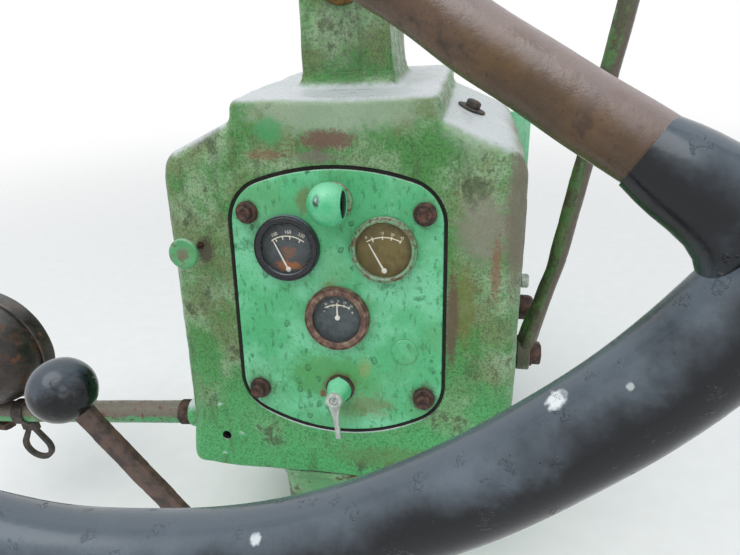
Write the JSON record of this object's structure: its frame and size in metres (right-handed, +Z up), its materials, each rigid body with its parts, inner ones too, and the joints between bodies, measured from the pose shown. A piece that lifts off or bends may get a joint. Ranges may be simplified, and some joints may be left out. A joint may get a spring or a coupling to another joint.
{
  "type": "tractor steering and instrument pedestal",
  "caption": "Cast steering and instrument pedestal off an old tractor, with leaning gauge panel, spoked steering wheel, lamp on a pipe arm, hand lever and shift lever.",
  "frame": {"origin": "middle of the foot's bolt pattern, on the foot's underside", "axes": "+X to the driver's right, +Y forward, away from the driver, +Z up"},
  "size_m": [0.7442, 0.6138, 0.8544],
  "materials": {
    "housing_paint": "worn matt paint",
    "stem_paint": "worn satin paint",
    "sheet_paint": "faded paint",
    "panel_paint": "worn gloss paint",
    "pipe_paint": "worn paint",
    "lever_paint": "worn paint",
    "lamp_paint": "rusty dark paint",
    "green_metal": "worn paint",
    "black_metal": "semi-gloss enamel",
    "rusty_steel": "rusted",
    "bare_steel": "dull",
    "shaft_steel": "dark, worn",
    "bronze": "oily",
    "dial": "matt",
    "needle": "matt",
    "clear_glass": "glossy, dirty",
    "lens_glass": "fluted",
    "black_plastic": "gloss",
    "knob_plastic": "gloss",
    "gasket": "oily fibre"
  },
  "bodies": {
    "pedestal": {"housing": "housing_paint", "stem": "stem_paint", "stem_gasket": "gasket", "cowl_plate": "sheet_paint", "instrument_panel": "panel_paint", "panel_screws": "rusty_steel", "water_gauge_case": "black_metal", "water_gauge_dial": "dial", "water_gauge_needle": "needle", "water_gauge_glass": "clear_glass", "oil_gauge_case": "green_metal", "oil_gauge_dial": "dial", "oil_gauge_needle": "needle", "oil_gauge_glass": "clear_glass", "ammeter_case": "rusty_steel", "ammeter_dial": "dial", "ammeter_needle": "needle", "ammeter_glass": "clear_glass", "dash_lamp_base": "panel_paint", "dash_lamp_hood": "panel_paint", "switch_collar": "rusty_steel", "switch_body": "panel_paint", "switch_lever": "bare_steel", "switch_screw": "bare_steel", "blank_plug": "panel_paint", "pull_rod": "rusty_steel", "pull_knob": "panel_paint", "shoulder_bolt": "rusty_steel", "shaft_bush": "bronze", "lamp_pipe": "pipe_paint", "pipe_collar": "rusty_steel", "lamp_bowl": "lamp_paint", "lamp_rim": "lamp_paint", "lamp_lens": "lens_glass", "lamp_nut": "lamp_paint", "pipe_clip": "bare_steel", "lever_bolt": "rusty_steel", "side_cap": "rusty_steel", "side_nut": "bare_steel", "shift_bracket": "stem_paint", "shift_pin": "rusty_steel"},
    "steering_wheel": {"steering_shaft": "shaft_steel", "wheel_spider": "rusty_steel", "wheel_rim": "black_plastic", "hub_nut": "rusty_steel"},
    "hand_lever_arm": {"hand_lever": "lever_paint"},
    "shift_lever_arm": {"shift_lever": "rusty_steel", "shift_knob": "knob_plastic"}
  },
  "joints": [
    {"name": "steering_turn", "type": "hinge", "parent": "pedestal", "child": "steering_wheel", "pos_m": [0.003, -0.338, 0.632], "axis": [0, 0.9925, -0.1219], "range_deg": [-540, 540]},
    {"name": "hand_lever_pull", "type": "hinge", "parent": "pedestal", "child": "hand_lever_arm", "pos_m": [0.17368, 0.06, 0.222], "axis": [1, 0, 0], "range_deg": [-18, 24]},
    {"name": "shift_lever_throw", "type": "hinge", "parent": "pedestal", "child": "shift_lever_arm", "pos_m": [-0.02, -0.17, 0.06], "axis": [0, 1, 0], "range_deg": [-12, 12]}
  ]
}
